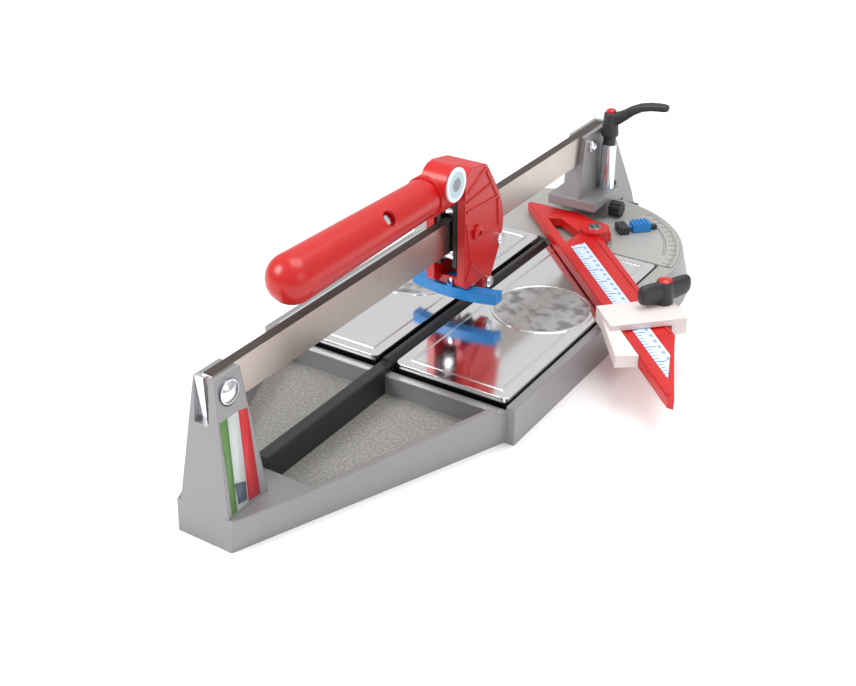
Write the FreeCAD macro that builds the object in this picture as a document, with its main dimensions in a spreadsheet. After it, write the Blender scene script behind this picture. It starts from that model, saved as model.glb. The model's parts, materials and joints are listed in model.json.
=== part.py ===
"""Manual tile cutter: base with two sprung platens, guide rail, scoring head and swivel fence.

Millimetres, +Z up.  X = 0 is the plane of the rail and of the cut, Y runs along the rail with
the user at -Y, Z = 0 is the flat underside of the base, and Y = 0 is the middle of the rail.
"""
import FreeCAD, Part
import Sketcher
import math
import os
import re

doc = FreeCAD.newDocument("tile_cutter")

# ---------------------------------------------------------------- driving dimensions
SIZES = {
    # guide rail
    "rail_thick": 9, "rail_tall": 30, "rail_top": 132, "rail_front": "=tip_reach - 20", "rail_rear": 312,
    # base casting
    "base_half": 129, "step_half": 120, "tip_half": 25.5, "tip_reach": 318, "step_reach": 89, "block_rear": "=tip_reach - 68",
    "wall_thick": 6, "wall_top": 35, "tip_top": 26, "floor_top": 12, "bay_floor": 22, "lip_top": 30,
    "bay_half": 121, "bay_front": 86.5, "bay_rear": 209, "lip_front": 95,
    # round deck of the swivel fence
    "swing_y": 203, "deck_top": 38, "deck_radius": 137, "skirt_radius": 146,
    "heel_half": 24, "heel_reach": 378, "heel_top": 20,
    "pad_radius": 9, "pad_thick": 3,
    # columns
    "column_half": 23, "column_top_half": 9.5, "column_top": 131,
    "front_face_foot": "=tip_reach - 3", "front_face_top": "=tip_reach - 16",
    "front_back_top": "=tip_reach - 43", "front_back_foot": "=tip_reach - 47",
    "rear_face_top": 262, "rear_face_foot": 252, "rear_back_top": 320, "rear_leg_front": 284,
    "gusset_front": 309, "gusset_half": 18, "slab_bottom": 56.2, "slab_top": 66, "slab_half": 25,
    "rail_bolt_radius": 4, "front_bolt_y": "=tip_reach - 28", "rear_bolt_y": 275, "rail_bolt_drop": 14, "end_plate_left": 8.5,
    "rail_bolt_head": 9.5, "bolt_shank": 3, "bolt_head": 6, "bolt_head_tall": 5,
    # breaking bar
    "bar_half": 6, "bar_front_top": 36, "bar_top": 40.5, "bar_rear": 196,
    # platens
    "platen_gap": 9.4, "platen_wide": 110, "platen_front": 85, "platen_rear": 207.5,
    "platen_top": 39, "platen_skin": 4.5, "platen_bottom": 27, "platen_step": 2.5, "platen_round": 6,
    "emboss": 0.6, "border_inset": 10, "border_wide": 2, "ring_radius": 47, "ring_wide": 3,
    "ring_x": 68, "ring_y": 68, "pin_radius": 3, "pin_deep": 10, "pin_inset": 16,
    "platen_travel": 3, "spring_radius": 4.4, "wire_radius": 0.6, "spring_turns": 2.25,
    # carriage
    "plate_gap": 1.7, "plate_thick": 4.2,
    "plate_inner": "=rail_thick / 2 + plate_gap", "plate_outer": "=plate_inner + plate_thick", "block_y0": 12, "block_y1": 62, "block_low": 88,
    "bridge_low": 146.4, "bridge_top": 149, "roller_radius": 6, "flange_radius": 7.4,
    "flange_wide": 1, "axle_radius": 2, "axle_y0": 22, "axle_y1": 52, "rail_gap": 0.3,
    # scoring head and handle
    "pivot_y": 30, "pivot_z": 118, "cheek_inner": 12, "cheek_outer": 20, "cheek_front": 10.5, "rib_proud": 1.2,
    "handle_z": 165.5, "collar_radius": 18.5, "collar_front": 24, "collar_rear": 14, "yoke_gap": 10,
    "tube_radius": 8, "tube_front": 190, "grip_nose": 221, "grip_big": 20, "grip_small": 17,
    "grip_screw_y": 94, "grip_screw_tilt": 38, "recess_radius": 6.5, "recess_floor": 12,
    "badge_y": -6, "badge_z": 175.5, "badge_radius": 15, "badge_thick": 1.4, "badge_rim": 1.5, "badge_boss": 25,
    "pin_head": 7, "stub_radius": 4, "wheel_y": 47, "wheel_z": 66, "wheel_radius": 11,
    "wheel_thick": 3, "fork_half": 7, "web_low": 66.3, "web_top": 74, "web_front": 19, "web_rear": 34,
    "foot_half": 44, "foot_low": 54.6, "foot_top": 65, "foot_y": 22, "foot_deep": 11,
    "foot_bow": 130, "foot_pin_z": 70, "foot_pin_radius": 2.5, "lug_half": 6,
    # swivel fence, in its own frame: u along the fence from the swing centre, v to its back
    "fence_low": 41, "fence_top": 50, "fence_nose": 334, "fence_tail": 71, "fence_deep": 47,
    "fence_angle": 45, "boss_u": 15.5, "boss_v": 45.4, "boss_radius": 15, "boss_top": 54,
    "shoe_radius": 48, "shoe_half": 4, "shoe_low": 31, "shoe_start": 60, "shoe_sweep": 40,
    "tape_u0": 46, "tape_u1": 303, "tape_v0": 11, "tape_v1": 27, "tape_thick": 0.6,
    # tile stop and its wing knob
    "stop_u0": 181, "stop_u1": 220, "stop_v0": 9, "stop_v1": 61, "stop_low": 41.5,
    "stop_plate": 5.5, "knob_u": 187, "knob_v": 51.5, "knob_low": 57, "knob_top": 78,
    "hub_radius": 9, "wing_angle": 107, "wing_reach": 17, "wing_thick": 7, "wing_tall": 10.5,
    # clamp post at the rear and its ratchet lever
    "post_x": 19, "post_y": 298, "post_radius": 7.8, "post_top": 115, "neck_top": 123,
    "neck_radius": 6.5, "lever_hub": 9, "lever_top": 149, "button_radius": 5,
    "button_low": 142, "button_proud": 4,
    # angle latch on the deck
    "dial_inner": 66, "dial_outer": 134, "dial_thick": 0.8, "latch_near": 91, "latch_far": 110,
    "latch_half": 6.5, "latch_tall": 9, "bracket_near": 76, "bracket_far": 86,
    # side thumbscrew
    "thumb_y": 295, "thumb_z": 47, "thumb_radius": 7, "thumb_long": 11, "lock_radius": 8, "lock_long": 12,
    # clearances
    "fit": 0.05, "play": 0.3,
}

sheet = doc.addObject("Spreadsheet::Sheet", "sizes")
for row, (alias, value) in enumerate(SIZES.items(), 1):
    sheet.set(f"A{row}", alias)
    sheet.set(f"B{row}", str(value))
    sheet.setAlias(f"B{row}", alias)
doc.recompute()


def size(alias):
    """The sheet's value under an alias."""
    return float(sheet.get(alias))


def link(text):
    """Turn an expression in bare aliases into one that reads the sheet."""
    return re.sub(r"[a-z][a-z0-9_]*", lambda word: "sizes." + word.group() if word.group() in SIZES
                  else word.group(), str(text))


# ---------------------------------------------------------------- building blocks
TURN = {
    "z": FreeCAD.Rotation(),
    "x": FreeCAD.Rotation(FreeCAD.Vector(0, 1, 0), 90),
    "y": FreeCAD.Rotation(FreeCAD.Vector(1, 0, 0), -90),
}
PLANES = {"xy": ("XY_Plane", "z"), "yz": ("YZ_Plane", "x"), "xz": ("XZ_Plane", "y")}
sub_parts = []


def bind(item, **expressions):
    """Bind properties to expressions in the sheet's aliases."""
    for name, text in expressions.items():
        item.setExpression(name, link(text))


def locate(item, x, y, z):
    """Bind an object's place."""
    for axis, text in zip("xyz", (x, y, z)):
        item.setExpression("Placement.Base." + axis, link(text))


def box(name, x, y, z):
    """A box from three (low, high) pairs of expressions."""
    item = doc.addObject("Part::Box", name)
    bind(item, Length=f"({x[1]}) - ({x[0]})", Width=f"({y[1]}) - ({y[0]})", Height=f"({z[1]}) - ({z[0]})")
    locate(item, x[0], y[0], z[0])
    return item


def rod(name, x, y, z, radius, length, axis="z"):
    """A cylinder from its start point along +axis."""
    item = doc.addObject("Part::Cylinder", name)
    item.Placement = FreeCAD.Placement(FreeCAD.Vector(), TURN[axis])
    bind(item, Radius=radius, Height=length)
    locate(item, x, y, z)
    return item


def cone(name, x, y, z, radius_low, radius_high, length, axis="z"):
    """A frustum from its start point along +axis."""
    item = doc.addObject("Part::Cone", name)
    item.Placement = FreeCAD.Placement(FreeCAD.Vector(), TURN[axis])
    bind(item, Radius1=radius_low, Radius2=radius_high, Height=length)
    locate(item, x, y, z)
    return item


def dome(name, x, y, z, radius, height, axis="z"):
    """A shallow spherical cap that stands on its flat face and bulges towards +axis."""
    item = doc.addObject("Part::Sphere", name)
    item.Placement = FreeCAD.Placement(FreeCAD.Vector(), TURN[axis])
    ball = f"((({radius}) ^ 2 + ({height}) ^ 2) / (2 * ({height})))"
    bind(item, Radius=ball, Angle1=f"asin(1 - ({height}) / {ball})")
    sunk = {along: f"({place}) - ({ball} - ({height}))" if along == axis else place
            for along, place in zip("xyz", (x, y, z))}
    locate(item, sunk["x"], sunk["y"], sunk["z"])
    return item


def prism(name, plane, points, start, length):
    """A PartDesign body: a polygon sketch on an origin plane, padded along the plane's normal."""
    role, axis = PLANES[plane]
    body = doc.addObject("PartDesign::Body", name)
    outline = body.newObject("Sketcher::SketchObject", name + "_outline")
    origin_plane = [plane for plane in body.Origin.OriginFeatures if plane.Role == role][0]
    outline.AttachmentSupport = [(origin_plane, "")]
    outline.MapMode = "FlatFace"
    count = len(points)
    ring = [FreeCAD.Vector(50 * math.cos(2 * math.pi * i / count), 50 * math.sin(2 * math.pi * i / count), 0)
            for i in range(count)]
    for i in range(count):
        outline.addGeometry(Part.LineSegment(ring[i], ring[(i + 1) % count]))
    for i in range(count):
        outline.addConstraint(Sketcher.Constraint("Coincident", i, 2, (i + 1) % count, 1))
    for i, (across, up) in enumerate(points):
        for kind, text, first in (("DistanceX", across, ring[i].x), ("DistanceY", up, ring[i].y)):
            number = outline.addConstraint(Sketcher.Constraint(kind, -1, 1, i, 1, first))
            outline.setExpression(f"Constraints[{number}]", link(text))
    pad = body.newObject("PartDesign::Pad", name + "_pad")
    pad.Profile = outline
    bind(pad, Length=length)
    place = f"({start}) + ({length})" if plane == "xz" else start
    body.setExpression("Placement.Base." + axis, link(place))
    return body


def cut(name, base, *tools):
    """Base less every tool."""
    item = doc.addObject("Part::Cut", name)
    item.Base = base
    item.Tool = tools[0] if len(tools) == 1 else fuse(name + "_tools", *tools)
    return item


def fuse(name, *shapes):
    """One shape from several."""
    item = doc.addObject("Part::MultiFuse", name)
    item.Shapes = list(shapes)
    return item


def common(name, *shapes):
    """What all shapes share."""
    item = doc.addObject("Part::MultiCommon", name)
    item.Shapes = list(shapes)
    return item


def group(name, *shapes):
    """Separate solids of one node."""
    item = doc.addObject("Part::Compound", name)
    item.Links = list(shapes)
    return item


def mirror(name, source):
    """The same shape on the other side of the plane of the cut."""
    item = doc.addObject("Part::Mirroring", name)
    item.Source = source
    item.Normal = FreeCAD.Vector(1, 0, 0)
    return item


def sector(name, inner, outer, low, high, start, sweep, x="0", y="0"):
    """A ring segment about a vertical axis, from start over sweep, both in degrees."""
    ring = []
    for suffix, radius in (("_out", outer), ("_in", inner)):
        item = doc.addObject("Part::Cylinder", name + suffix)
        item.Placement = FreeCAD.Placement(FreeCAD.Vector(), FreeCAD.Rotation(FreeCAD.Vector(0, 0, 1), start))
        bind(item, Radius=radius, Height=f"({high}) - ({low})", Angle=sweep)
        locate(item, x, y, low)
        ring.append(item)
    return cut(name, ring[0], ring[1])


def sub_part(item, node, placement=None):
    """Name a finished piece and, if it is built in a frame of its own, put it in place."""
    item.Label = node
    if placement:
        item.Placement = placement
    sub_parts.append(item)
    return item


# ---------------------------------------------------------------- shared places
RAIL_LOW = "rail_top - rail_tall"
BOLT_Z = "rail_top - rail_bolt_drop"
WEDGE = "(step_half - tip_half) / (tip_reach - step_reach)"
FRONT_BOLTS = (("0", "-tip_reach + 20"), ("0", "-front_back_foot - 8"))
REAR_BOLTS = (("-12", "rear_leg_front + 10"), ("12", "rear_leg_front + 10"),
              ("-11", "gusset_front + 20"), ("11", "gusset_front + 20"))
BAR_SCREWS = ("-block_rear + 50", "-20", "bar_rear - 50")
PADS = (("-tip_half + 8", "-tip_reach + 26"), ("tip_half - 8", "-tip_reach + 26"),
        ("-base_half + 20", "-step_reach + 20"), ("base_half - 20", "-step_reach + 20"),
        ("-base_half + 30", "swing_y + 20"), ("base_half - 30", "swing_y + 20"))
fence_place = FreeCAD.Placement(FreeCAD.Vector(0, size("swing_y"), 0),
                                FreeCAD.Rotation(FreeCAD.Vector(0, 0, 1), -size("fence_angle")))
latch_place = FreeCAD.Placement(FreeCAD.Vector(0, size("swing_y"), 0),
                                FreeCAD.Rotation(FreeCAD.Vector(0, 0, 1), size("fence_angle")))


def wedge_half(reach):
    """Half the width of the base's front wedge at a distance in front of the rail's middle."""
    return f"(tip_half + {WEDGE} * (tip_reach - ({reach})))"


def pin_spots():
    """The four guide pins under the right platen."""
    near = "platen_gap + pin_inset"
    far = "platen_gap + platen_wide - pin_inset"
    return [(x, y) for x in (near, far) for y in ("-platen_front + pin_inset", "platen_rear - pin_inset")]


# ---------------------------------------------------------------- base
def base_casting():
    """The cast base: wedge front, platen bay, round deck and heel."""
    plan = prism("base_plan", "xy",
                 [("-tip_half", "-tip_reach"), ("tip_half", "-tip_reach"), ("step_half", "-step_reach"),
                  ("base_half", "-step_reach"), ("base_half", "swing_y"), ("-base_half", "swing_y"),
                  ("-base_half", "-step_reach"), ("-step_half", "-step_reach")],
                 "0", "wall_top")
    deck = cone("base_deck", "0", "swing_y", "0", "skirt_radius", "deck_radius", "deck_top")
    heel = box("base_heel", ("-heel_half", "heel_half"), ("swing_y + 60", "heel_reach"), ("0", "heel_top"))
    slope = prism("base_slope", "yz",
                  [("-tip_reach - 10", "-1"), ("-tip_reach", "0"), ("-front_face_foot", "tip_top"),
                   ("-block_rear", "tip_top"), ("-step_reach", "wall_top"),
                   ("-step_reach", "wall_top + 20"), ("-tip_reach - 10", "wall_top + 20")],
                  "-base_half - 10", "2 * base_half + 20")
    wells = prism("base_wells", "xy",
                  [(f"-{wedge_half('block_rear')} + wall_thick", "-block_rear"),
                   (f"{wedge_half('block_rear')} - wall_thick", "-block_rear"),
                   (f"{wedge_half('lip_front')} - wall_thick", "-lip_front"),
                   (f"-{wedge_half('lip_front')} + wall_thick", "-lip_front")],
                  "floor_top", "wall_top")
    lip = box("base_lip", ("-bay_half", "bay_half"), ("-lip_front - 1", "-bay_front + 1"),
              ("lip_top", "wall_top + 5"))
    bay = box("base_bay", ("-bay_half", "bay_half"), ("-bay_front", "bay_rear"), ("bay_floor", "deck_top + 5"))
    bar_slot = box("base_bar_slot", ("-bar_half", "bar_half"), ("-lip_front - 1", "-bay_front + 1"),
                   ("bay_floor", "wall_top"))
    shoe_slot = sector("base_shoe_slot", "shoe_radius - shoe_half - play", "shoe_radius + shoe_half + play",
                       "shoe_low - 2", "deck_top + 5", size("shoe_start") - size("fence_angle") - 2,
                       "shoe_sweep + fence_angle + 4", "0", "swing_y")
    holes = []
    for i, (x, y) in enumerate(FRONT_BOLTS + REAR_BOLTS):
        holes.append(rod(f"base_bolt_hole_{i}", x, y, "-1", "bolt_shank", "deck_top + 5"))
        holes.append(rod(f"base_bolt_sink_{i}", x, y, "-1", "bolt_head + play", "bolt_head_tall + 3"))
    for i, y in enumerate(BAR_SCREWS):
        holes.append(rod(f"base_bar_hole_{i}", "0", y, "-1", "bolt_shank", "bay_floor + 5"))
        holes.append(rod(f"base_bar_sink_{i}", "0", y, "-1", "bolt_head + play", "bolt_head_tall + 3"))
    for i, (x, y) in enumerate(PADS):
        holes.append(rod(f"base_pad_{i}", x, y, "-1", "pad_radius", "pad_thick + 1"))
    for i, (x, y) in enumerate(pin_spots()):
        deep = "pin_deep + platen_travel - platen_bottom + bay_floor + 2"
        for side in ("", "-"):
            spot = f"{side}({x})"
            holes.append(rod(f"base_pin_hole_{i}{'l' if side else 'r'}", spot, y, f"bay_floor - ({deep})",
                             "pin_radius + fit", f"{deep} + 2"))
    solid = fuse("base_solid", plan, deck, heel)
    sub_part(cut("base_shape", solid, slope, wells, lip, bay, bar_slot, shoe_slot, *holes), "base_casting")


def rubber_pads():
    """Flush rubber pads under the base."""
    pads = [rod(f"pad_{i}", x, y, "0", "pad_radius", "pad_thick") for i, (x, y) in enumerate(PADS)]
    sub_part(group("pads", *pads), "rubber_pads")


def breaking_bar():
    """The dark bar under the cut line: the tile is snapped over its ridge."""
    bar = prism("bar_profile", "yz",
                [("-block_rear", "floor_top"), ("-lip_front - play", "floor_top"),
                 ("-lip_front - play", "bay_floor"), ("bar_rear", "bay_floor"), ("bar_rear", "bar_top"),
                 ("-platen_front", "bar_top"), ("-platen_front", "bar_front_top"),
                 ("-block_rear", "bar_front_top")],
                "-bar_half", "2 * bar_half")
    ridge = prism("bar_section", "xz",
                  [("-bar_half", "0"), ("bar_half", "0"), ("bar_half", "bar_front_top - 1.5"),
                   ("2", "bar_top"), ("-2", "bar_top"), ("-bar_half", "bar_front_top - 1.5")],
                  "-block_rear - 5", "block_rear + bar_rear + 10")
    holes = [rod(f"bar_hole_{i}", "0", y, "floor_top - 1", "bolt_shank", "bay_floor + 8 - floor_top + 1")
             for i, y in enumerate(BAR_SCREWS)]
    sub_part(cut("bar_shape", common("bar_solid", bar, ridge), *holes), "breaking_bar")


def bolt_from_below(name, x, y, high):
    """A cap screw that comes up from a counterbore in the base's underside."""
    head = rod(name + "_head", x, y, "2", "bolt_head", "bolt_head_tall")
    shank = rod(name + "_shank", x, y, "2", "bolt_shank", f"({high}) - 2")
    key = rod(name + "_key", x, y, "1", "bolt_shank - 0.5", "3")
    return cut(name, fuse(name + "_solid", head, shank), key)


def column_bolts():
    """Cap screws that hold both columns to the base."""
    bolts = [bolt_from_below(f"front_bolt_{i}", x, y, "tip_top + 14") for i, (x, y) in enumerate(FRONT_BOLTS)]
    bolts += [bolt_from_below(f"rear_bolt_{i}", x, y, "deck_top + 12") for i, (x, y) in enumerate(REAR_BOLTS)]
    sub_part(group("column_bolt_set", *bolts), "column_bolts")


def bar_screws():
    """Cap screws that hold the breaking bar."""
    screws = [bolt_from_below(f"bar_screw_{i}", "0", y, "bay_floor + 7") for i, y in enumerate(BAR_SCREWS)]
    sub_part(group("bar_screw_set", *screws), "breaking_bar_screws")


# ---------------------------------------------------------------- rail and columns
def guide_rail():
    """The flat steel rail on edge, bored for its two cross bolts."""
    bar = box("rail_bar", ("-rail_thick / 2", "rail_thick / 2"), ("-rail_front", "rail_rear"),
              (RAIL_LOW, "rail_top"))
    bores = [rod(f"rail_bore_{i}", "-rail_thick", y, BOLT_Z, "rail_bolt_radius", "2 * rail_thick", "x")
             for i, y in enumerate(("-front_bolt_y", "rear_bolt_y"))]
    sub_part(cut("rail_shape", bar, *bores), "guide_rail")


def rail_slot(name, y0, y1):
    """The open-topped slot that a column holds the rail in."""
    return box(name, ("-rail_thick / 2", "rail_thick / 2"), (y0, y1), (RAIL_LOW, "column_top + 20"))


def bolt_seat(name, y, x0, length):
    """A spot face for a cross bolt's head or nut."""
    return rod(name, x0, y, BOLT_Z, "rail_bolt_head + 1", length, "x")


def front_column():
    """The tapered front column with its open slot and two bolt seats."""
    side = prism("front_side", "yz",
                 [("-front_face_foot", "tip_top"), ("-front_back_foot", "tip_top"),
                  ("-front_back_top", "column_top"), ("-front_face_top", "column_top")],
                 "-column_half", "2 * column_half")
    face = prism("front_face", "xz",
                 [("-column_half", "tip_top"), ("column_half", "tip_top"),
                  ("column_top_half", "column_top"), ("-column_top_half", "column_top")],
                 "-tip_reach - 5", "80")
    slot = rail_slot("front_slot", "-tip_reach - 5", "-front_back_foot + 5")
    gap = box("front_gap", ("-end_plate_left", "rail_thick / 2"), ("-tip_reach - 5", "-rail_front"),
              (f"{RAIL_LOW} - 7", "column_top + 20"))
    bore = rod("front_bore", "-column_half - 5", "-front_bolt_y", BOLT_Z, "rail_bolt_radius",
               "2 * column_half + 10", "x")
    seats = [bolt_seat("front_seat_r", "-front_bolt_y", "column_top_half + 0.5", "20"),
             bolt_seat("front_seat_l", "-front_bolt_y", "-column_top_half - 20.5", "20")]
    holes = [rod(f"front_hole_{i}", x, y, "tip_top - 1", "bolt_shank", "15.5")
             for i, (x, y) in enumerate(FRONT_BOLTS)]
    solid = common("front_solid", side, face)
    sub_part(cut("front_shape", solid, slot, gap, bore, *seats, *holes), "front_column")


def rear_column():
    """The rear column: thin upright web, gusset, and a slab that bridges the fence's head."""
    web = prism("rear_web", "yz",
                [("rear_face_foot", "slab_bottom"), ("rear_leg_front", "slab_bottom"),
                 ("rear_leg_front", "deck_top"), ("gusset_front", "deck_top"),
                 ("rear_back_top", "column_top"), ("rear_face_top", "column_top")],
                "-column_top_half", "2 * column_top_half")
    rib_side = prism("rear_gusset", "yz",
                     [("gusset_front", "deck_top"), ("swing_y + deck_radius + 6", "deck_top"),
                      ("swing_y + deck_radius + 6", "heel_top"), ("heel_reach", "heel_top"),
                      ("rear_back_top", "column_top"), ("gusset_front", "column_top")],
                     "-gusset_half", "2 * gusset_half")
    rib_face = prism("rear_face", "xz",
                     [("-gusset_half", "heel_top"), ("gusset_half", "heel_top"),
                      ("gusset_half", "deck_top"), ("column_top_half", "column_top"),
                      ("-column_top_half", "column_top"), ("-gusset_half", "deck_top")],
                     "gusset_front - 5", "heel_reach - gusset_front + 10")
    slab = box("rear_slab", ("-slab_half", "slab_half + 3"), ("rear_face_foot", "gusset_front"),
               ("slab_bottom", "slab_top"))
    leg = box("rear_leg", ("-slab_half", "slab_half + 3"), ("rear_leg_front", "gusset_front"),
              ("deck_top", "slab_bottom"))
    slot = rail_slot("rear_slot", "rear_face_foot - 5", "rail_rear")
    bore = rod("rear_bore", "-column_half", "rear_bolt_y", BOLT_Z, "rail_bolt_radius", "2 * column_half", "x")
    eye = rod("rear_eye", "gusset_half - 8", "gusset_front + 17", "slab_top - 6", "rail_bolt_radius", "10", "x")
    thumbs = [rod("rear_thumb_hole_l", "-slab_half - 1", "thumb_y", "thumb_z", "bolt_shank + fit", "9.5", "x"),
              rod("rear_thumb_hole_r", "slab_half + 3 - 8.5", "thumb_y", "thumb_z", "bolt_shank + fit", "10", "x")]
    holes = [rod(f"rear_hole_{i}", x, y, "deck_top - 1", "bolt_shank", "13.5")
             for i, (x, y) in enumerate(REAR_BOLTS)]
    solid = fuse("rear_solid", web, common("rear_rib", rib_side, rib_face), slab, leg)
    sub_part(cut("rear_shape", solid, slot, bore, eye, *thumbs, *holes), "rear_column")


def cross_bolt(name, y, half, head):
    """A domed bolt through a column and the rail, with its nut on the far side."""
    shank = rod(name + "_shank", f"-({half}) - 6", y, BOLT_Z, "rail_bolt_radius", f"2 * ({half}) + 6", "x")
    washer = rod(name + "_washer", half, y, BOLT_Z, head, "2.5", "x")
    cap = dome(name + "_cap", f"({half}) + 2.5", y, BOLT_Z, f"({head}) - 1", "3.5", "x")
    sub_part(fuse(name, shank, washer, cap), name)
    nut = rod(name + "_nut_body", f"-({half}) - 5", y, BOLT_Z, f"({head}) - 1.5", "5", "x")
    bore = rod(name + "_nut_bore", f"-({half}) - 7", y, BOLT_Z, "rail_bolt_radius", "9", "x")
    return cut(name + "_nut_shape", nut, bore)


def rail_fixings():
    """Both cross bolts and their nuts, and the plate that closes the rail's front end."""
    nuts = [cross_bolt("front_rail_bolt", "-front_bolt_y", "column_top_half + 0.5", "rail_bolt_head"),
            cross_bolt("rear_rail_bolt", "rear_bolt_y", "column_top_half", "rail_bolt_head - 3")]
    sub_part(group("nut_set", *nuts), "rail_nuts")
    plate = box("end_plate", ("-end_plate_left", "-0.5"), ("-rail_front - 4", "-rail_front"),
                (f"{RAIL_LOW} - 7", "column_top"))
    sub_part(plate, "rail_end_plate")


# ---------------------------------------------------------------- platens
def platen():
    """One sprung platen, right of the cut line: skin, stepped edge, embossed border and ring."""
    x0, x1 = "platen_gap", "platen_gap + platen_wide"
    skin = box("platen_skin_box", (x0, x1), ("-platen_front", "platen_rear"),
               ("platen_top - platen_skin", "platen_top"))
    under = box("platen_under", (f"{x0} + platen_step", f"{x1} - platen_step"),
                ("-platen_front + platen_step", "platen_rear - platen_step"),
                ("platen_bottom", "platen_top - platen_skin"))
    doc.recompute()
    rounded = doc.addObject("Part::Fillet", "platen_round")
    rounded.Base = skin
    radius = size("platen_round")
    upright = [i for i, edge in enumerate(skin.Shape.Edges, 1)
               if abs(edge.Vertexes[0].Z - edge.Vertexes[-1].Z) > 1]
    rounded.Edges = [(i, radius, radius) for i in upright]
    frames = []
    for name, extra in (("outer", "0"), ("inner", "border_wide")):
        inset = f"(border_inset + {extra})"
        frames.append(box(f"platen_border_{name}", (f"{x0} + {inset}", f"{x1} - {inset}"),
                          (f"-platen_front + {inset}", f"platen_rear - {inset}"),
                          ("platen_top - 1", "platen_top + emboss")))
    border = cut("platen_border", *frames)
    ring = cut("platen_ring",
               rod("ring_out", "ring_x", "ring_y", "platen_top - 1", "ring_radius", "1 + emboss"),
               rod("ring_in", "ring_x", "ring_y", "platen_top - 2", "ring_radius - ring_wide", "3 + emboss"))
    return fuse("platen_shape", rounded, under, border, ring)


def spring_coil(name, x, y):
    """A short compression spring around a guide pin."""
    coil = doc.addObject("Part::Helix", name + "_line")
    free = "(platen_bottom - bay_floor - 2 * wire_radius)"
    bind(coil, Radius="spring_radius", Height=free, Pitch=f"{free} / spring_turns")
    coil.SegmentLength = 1
    turns = [f"Edge{i + 1}" for i in range(math.ceil(size("spring_turns")))]
    wire = doc.addObject("Part::Circle", name + "_wire")
    wire.Placement = FreeCAD.Placement(FreeCAD.Vector(), FreeCAD.Rotation(FreeCAD.Vector(1, 0, 0), 90))
    bind(wire, Radius="wire_radius")
    locate(wire, "spring_radius", "0", "0")
    sweep = doc.addObject("Part::Sweep", name)
    sweep.Sections = [wire]
    sweep.Spine = (coil, turns)
    sweep.Solid = True
    sweep.Frenet = True
    locate(sweep, x, y, "bay_floor + wire_radius")
    return sweep


def platens():
    """Both platens with their guide pins and springs."""
    right = platen()
    pins = [rod(f"guide_pin_{i}", x, y, "platen_bottom - pin_deep", "pin_radius", "pin_deep")
            for i, (x, y) in enumerate(pin_spots())]
    right_pins = group("right_pins", *pins)
    springs = [spring_coil(f"spring_{i}", x, y) for i, (x, y) in enumerate(pin_spots())]
    right_springs = group("right_springs", *springs)
    for item, node in ((right, "platen"), (right_pins, "platen_pins"), (right_springs, "platen_springs")):
        sub_part(item, "right_" + node)
        sub_part(mirror("left_" + node + "_shape", item), "left_" + node)


# ---------------------------------------------------------------- carriage
ROLLERS = {
    "top_front_roller": ("axle_y0", "rail_top + rail_gap + roller_radius"),
    "top_rear_roller": ("axle_y1", "rail_top + rail_gap + roller_radius"),
    "low_front_roller": ("axle_y0", "rail_top - rail_tall - rail_gap - roller_radius"),
    "low_rear_roller": ("axle_y1", "rail_top - rail_tall - rail_gap - roller_radius"),
}


def roller(node, y, z):
    """A flanged roller that runs on an edge of the rail."""
    half = "(rail_thick / 2 + rail_gap)"
    tread = rod(node + "_tread", f"-{half}", y, z, "roller_radius", f"2 * {half}", "x")
    rims = [rod(node + "_rim_r", half, y, z, "flange_radius", "flange_wide", "x"),
            rod(node + "_rim_l", f"-{half} - flange_wide", y, z, "flange_radius", "flange_wide", "x")]
    bore = rod(node + "_bore", "-plate_outer", y, z, "axle_radius + fit", "2 * plate_outer", "x")
    sub_part(cut(node + "_shape", fuse(node + "_solid", tread, *rims), bore), node)


def carriage():
    """The carriage yoke astride the rail, its axles and rollers, and the head's stub bolts."""
    body = box("yoke_body", ("-plate_outer", "plate_outer"), ("block_y0", "block_y1"),
               ("block_low", "bridge_top"))
    tunnel = box("yoke_tunnel", ("-plate_inner", "plate_inner"), ("block_y0 - 1", "block_y1 + 1"),
                 ("block_low - 1", "bridge_low"))
    bores = [rod(f"yoke_bore_{i}", "-plate_outer - 1", y, z, "axle_radius", "2 * plate_outer + 2", "x")
             for i, (y, z) in enumerate(ROLLERS.values())]
    stub_bore = rod("yoke_stub_bore", "-plate_outer - 1", "pivot_y", "pivot_z", "stub_radius",
                    "2 * plate_outer + 2", "x")
    sub_part(cut("yoke_shape", body, tunnel, stub_bore, *bores), "carriage_yoke")
    axles = [rod(f"axle_{i}", "-plate_outer", y, z, "axle_radius", "2 * plate_outer", "x")
             for i, (y, z) in enumerate(ROLLERS.values())]
    sub_part(group("axle_set", *axles), "roller_axles")
    for node, (y, z) in ROLLERS.items():
        roller(node, y, z)
    stub = rod("stub_shank", "plate_inner", "pivot_y", "pivot_z", "stub_radius",
               "cheek_outer + play - plate_inner", "x")
    head = rod("stub_head", "cheek_outer + play", "pivot_y", "pivot_z", "pin_head", "2.5", "x")
    cap = dome("stub_cap", "cheek_outer + play + 2.5", "pivot_y", "pivot_z", "pin_head - 1", "1.5", "x")
    key = rod("stub_key", "cheek_outer + play + 1.5", "pivot_y", "pivot_z", "2.4", "5", "x")
    right = cut("stub_right", fuse("stub_solid", stub, head, cap), key)
    sub_part(group("stub_set", right, mirror("stub_left", right)), "head_pivot_bolts")


# ---------------------------------------------------------------- scoring head
CHEEK = [("cheek_front + 8.5", "182"), ("cheek_front", "174"), ("cheek_front", "72"), ("cheek_front + 4", "68.5"), ("41", "68.5"), ("42", "56.2"),
         ("54", "56.2"), ("56", "64"), ("63", "76"), ("71", "90"), ("76", "104"), ("77", "116"),
         ("74", "130"), ("68", "143"), ("59", "158"), ("50", "171"), ("45", "177")]
CROWN = [("cheek_front", "handle_z"), ("cheek_front", "174"), ("cheek_front + 8.5", "182"), ("45", "177"),
         ("50", "171"), ("40", "handle_z")]
CLAMP_BOLTS = (("69", "98"), ("50", "62"))


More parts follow.
